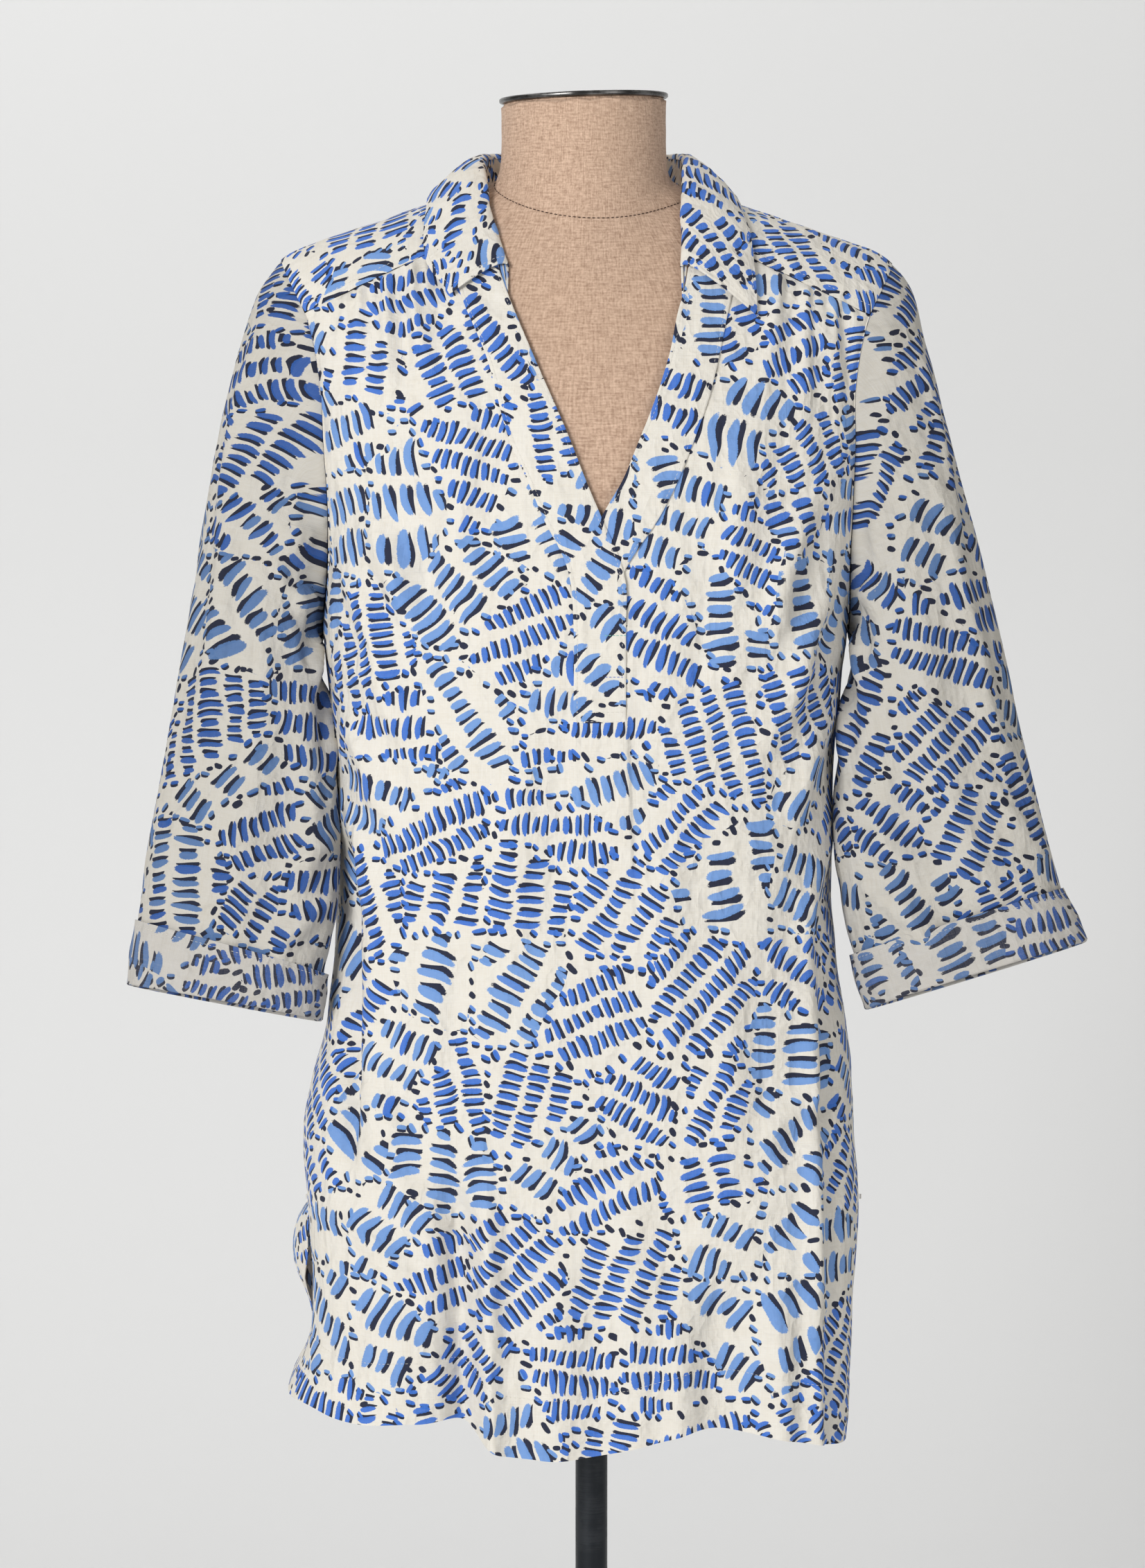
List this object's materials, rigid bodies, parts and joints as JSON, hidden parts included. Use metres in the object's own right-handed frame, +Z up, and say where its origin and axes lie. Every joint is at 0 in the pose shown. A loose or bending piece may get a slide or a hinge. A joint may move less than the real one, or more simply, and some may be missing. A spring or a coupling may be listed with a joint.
{
  "type": "women's tunic top on a limbless dress form",
  "caption": "Loose women's tunic with a split V neck, shirt collar and turned-up cuffs, worn on a limbless linen dress form with a steel pole and round base.",
  "frame": {"origin": "centre of the base's underside, on the floor", "axes": "+Z up along the pole, -Y towards the front, +X towards the wearer's left"},
  "size_m": [0.644, 0.34, 1.4543],
  "materials": {
    "printed_cloth": "light woven cloth with a blue print on cream",
    "cloth_wrong_side": "the same cloth's paler wrong side",
    "form_linen": "tan linen stretched over the form",
    "cap_steel": "dark, worn, polished",
    "pole_steel": "dark blue-grey, satin"
  },
  "bodies": {
    "root": {"front": "printed_cloth", "back": "printed_cloth", "yoke": "printed_cloth", "collar_stand": "printed_cloth", "collar_fall": "printed_cloth", "band_over": "printed_cloth", "band_under": "printed_cloth", "sleeve_right": "printed_cloth", "sleeve_left": "printed_cloth", "cuff_right": "cloth_wrong_side", "cuff_left": "cloth_wrong_side", "form_body": "form_linen", "form_cap": "cap_steel", "form_pole": "pole_steel", "form_base": "pole_steel"}
  },
  "joints": []
}
